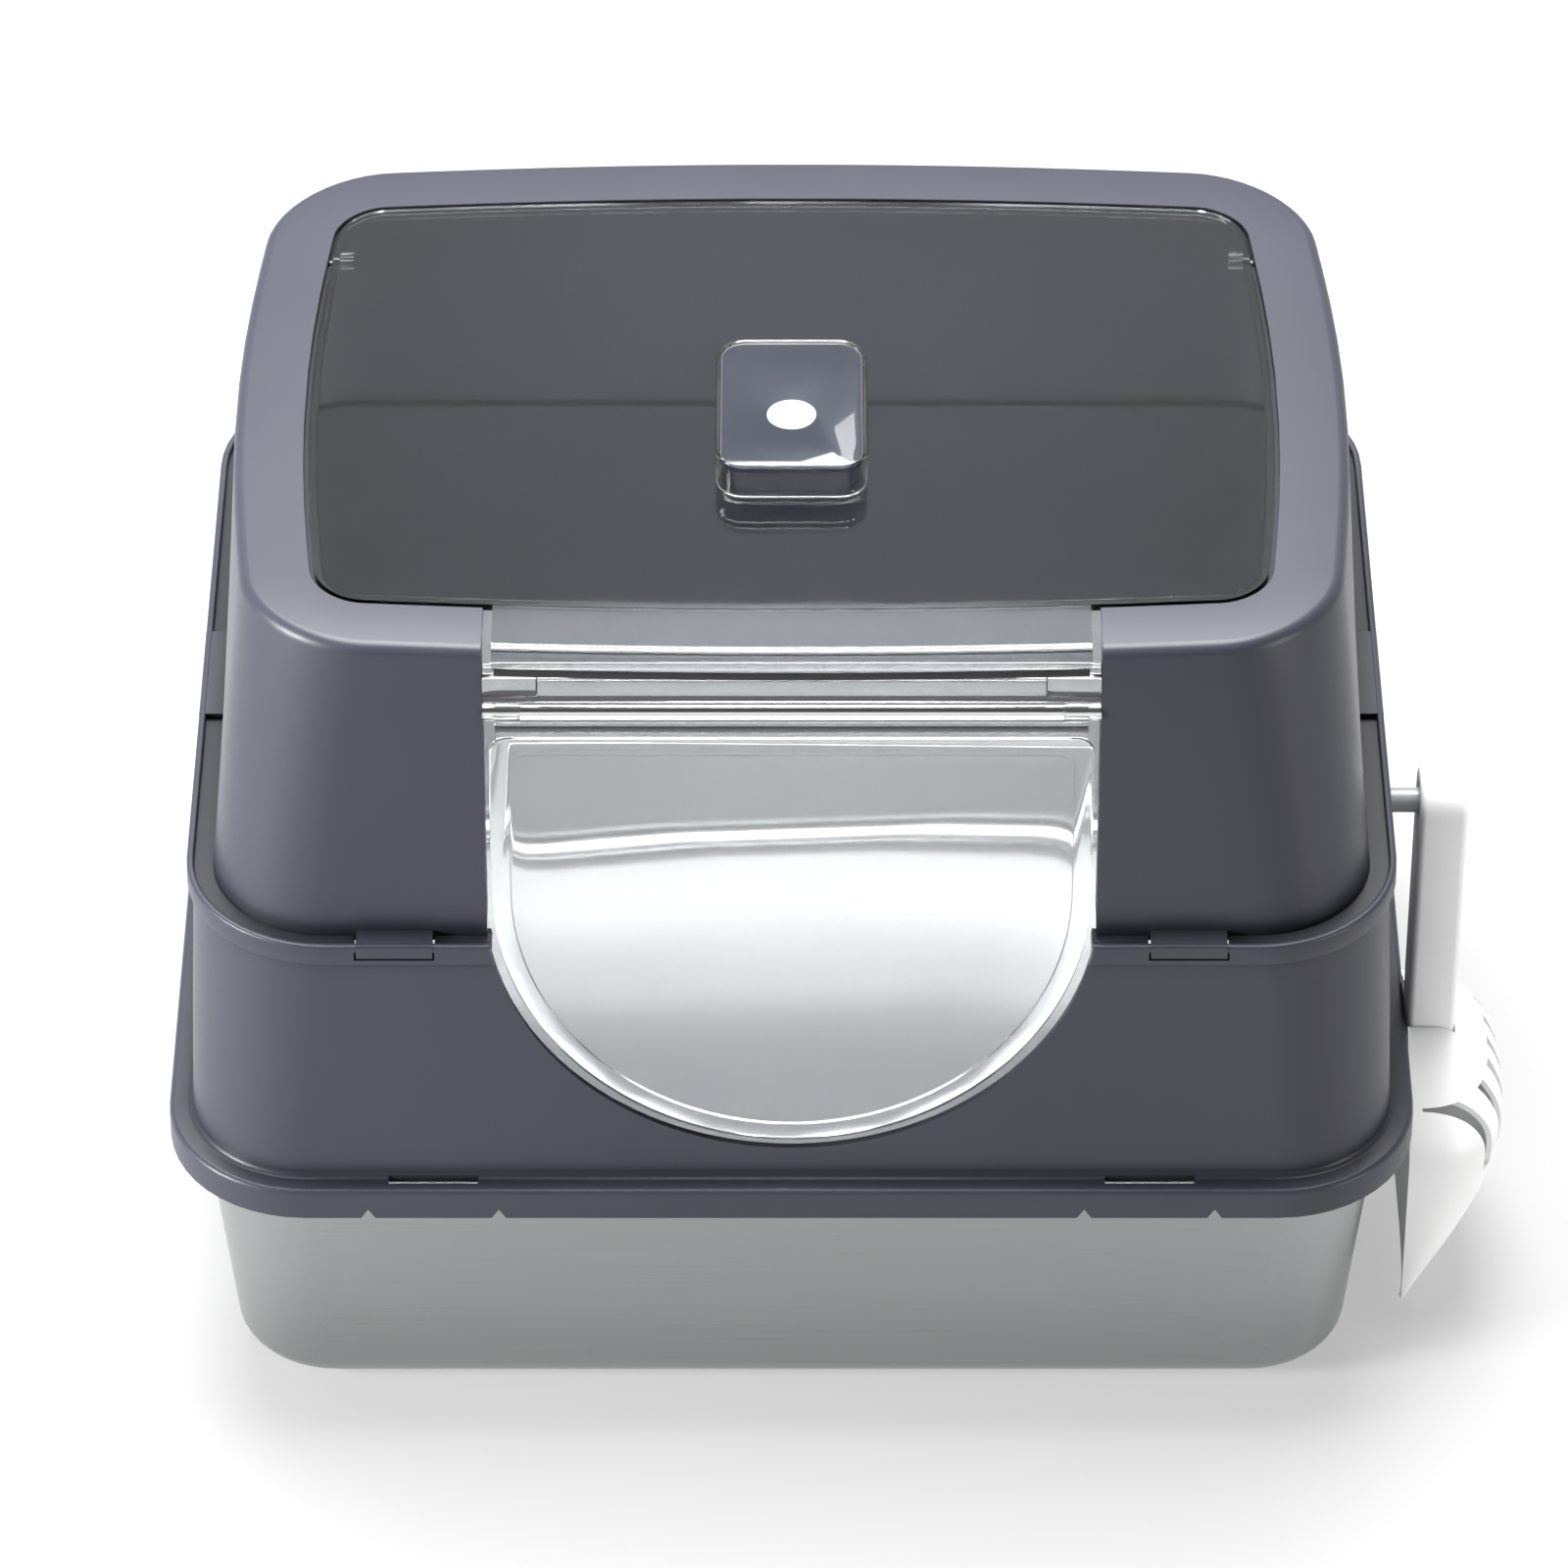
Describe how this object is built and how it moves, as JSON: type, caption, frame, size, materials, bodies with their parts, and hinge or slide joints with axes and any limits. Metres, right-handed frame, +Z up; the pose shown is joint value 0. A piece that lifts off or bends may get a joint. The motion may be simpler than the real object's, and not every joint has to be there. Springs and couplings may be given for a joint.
{
  "type": "hooded cat litter box",
  "caption": "Hooded cat litter box: deep steel pan, clip-on splash guard, moulded hood with a clear lift-up lid and clear swinging entry door, scoop hung on its side.",
  "frame": {"origin": "middle of the pan's underside, where the box rests on the floor", "axes": "+X across the width to the side with the scoop, +Y towards the rear, away from the door, +Z up"},
  "size_m": [0.5635, 0.41, 0.3975],
  "materials": {
    "steel": "fine brushed stainless steel, satin",
    "shell_plastic": "slate blue-grey moulded polypropylene with a fine matt grain",
    "peg_plastic": "mid-grey smooth plastic",
    "clear_plastic": "clear polished plastic",
    "smoked_plastic": "lightly smoked clear polished plastic",
    "rod_steel": "bright drawn steel wire",
    "seal_rubber": "soft black rubber, dull",
    "knob_blue": "slate-blue satin plastic",
    "dot_white": "white smooth plastic",
    "scoop_white": "white smooth moulded plastic"
  },
  "bodies": {
    "pan": {"pan": "steel"},
    "guard": {"splash_guard": "shell_plastic", "scoop_peg": "peg_plastic"},
    "hood": {"hood": "shell_plastic", "door_header": "clear_plastic", "door_hinge_rod": "rod_steel", "door_bush_left": "clear_plastic", "door_bush_right": "clear_plastic", "lid_bumper_left": "seal_rubber", "lid_bumper_right": "seal_rubber"},
    "lid": {"lid": "smoked_plastic", "lid_hinge_pin_left": "rod_steel", "lid_hinge_pin_right": "rod_steel", "lid_seal": "seal_rubber", "knob_shell": "clear_plastic", "knob_plate": "knob_blue", "knob_dot": "dot_white"},
    "door": {"door_flap": "clear_plastic"},
    "scoop": {"scoop_handle": "scoop_white", "scoop_blade": "scoop_white"}
  },
  "joints": [
    {"name": "guard_lift", "type": "slide", "parent": "pan", "child": "guard", "axis": [0, 0, 1], "range_m": [0, 0.06]},
    {"name": "hood_lift", "type": "slide", "parent": "guard", "child": "hood", "axis": [0, 0, 1], "range_m": [0, 0.14]},
    {"name": "lid_hinge", "type": "hinge", "parent": "hood", "child": "lid", "pos_m": [0, 0.1038, 0.3756], "axis": [-1, 0, 0], "range_deg": [0, 100]},
    {"name": "door_swing", "type": "hinge", "parent": "hood", "child": "door", "pos_m": [0, -0.16864, 0.3515], "axis": [1, 0, 0], "range_deg": [-75, 75]},
    {"name": "scoop_pull", "type": "slide", "parent": "guard", "child": "scoop", "axis": [1, 0, 0], "range_m": [0, 0.05]}
  ]
}
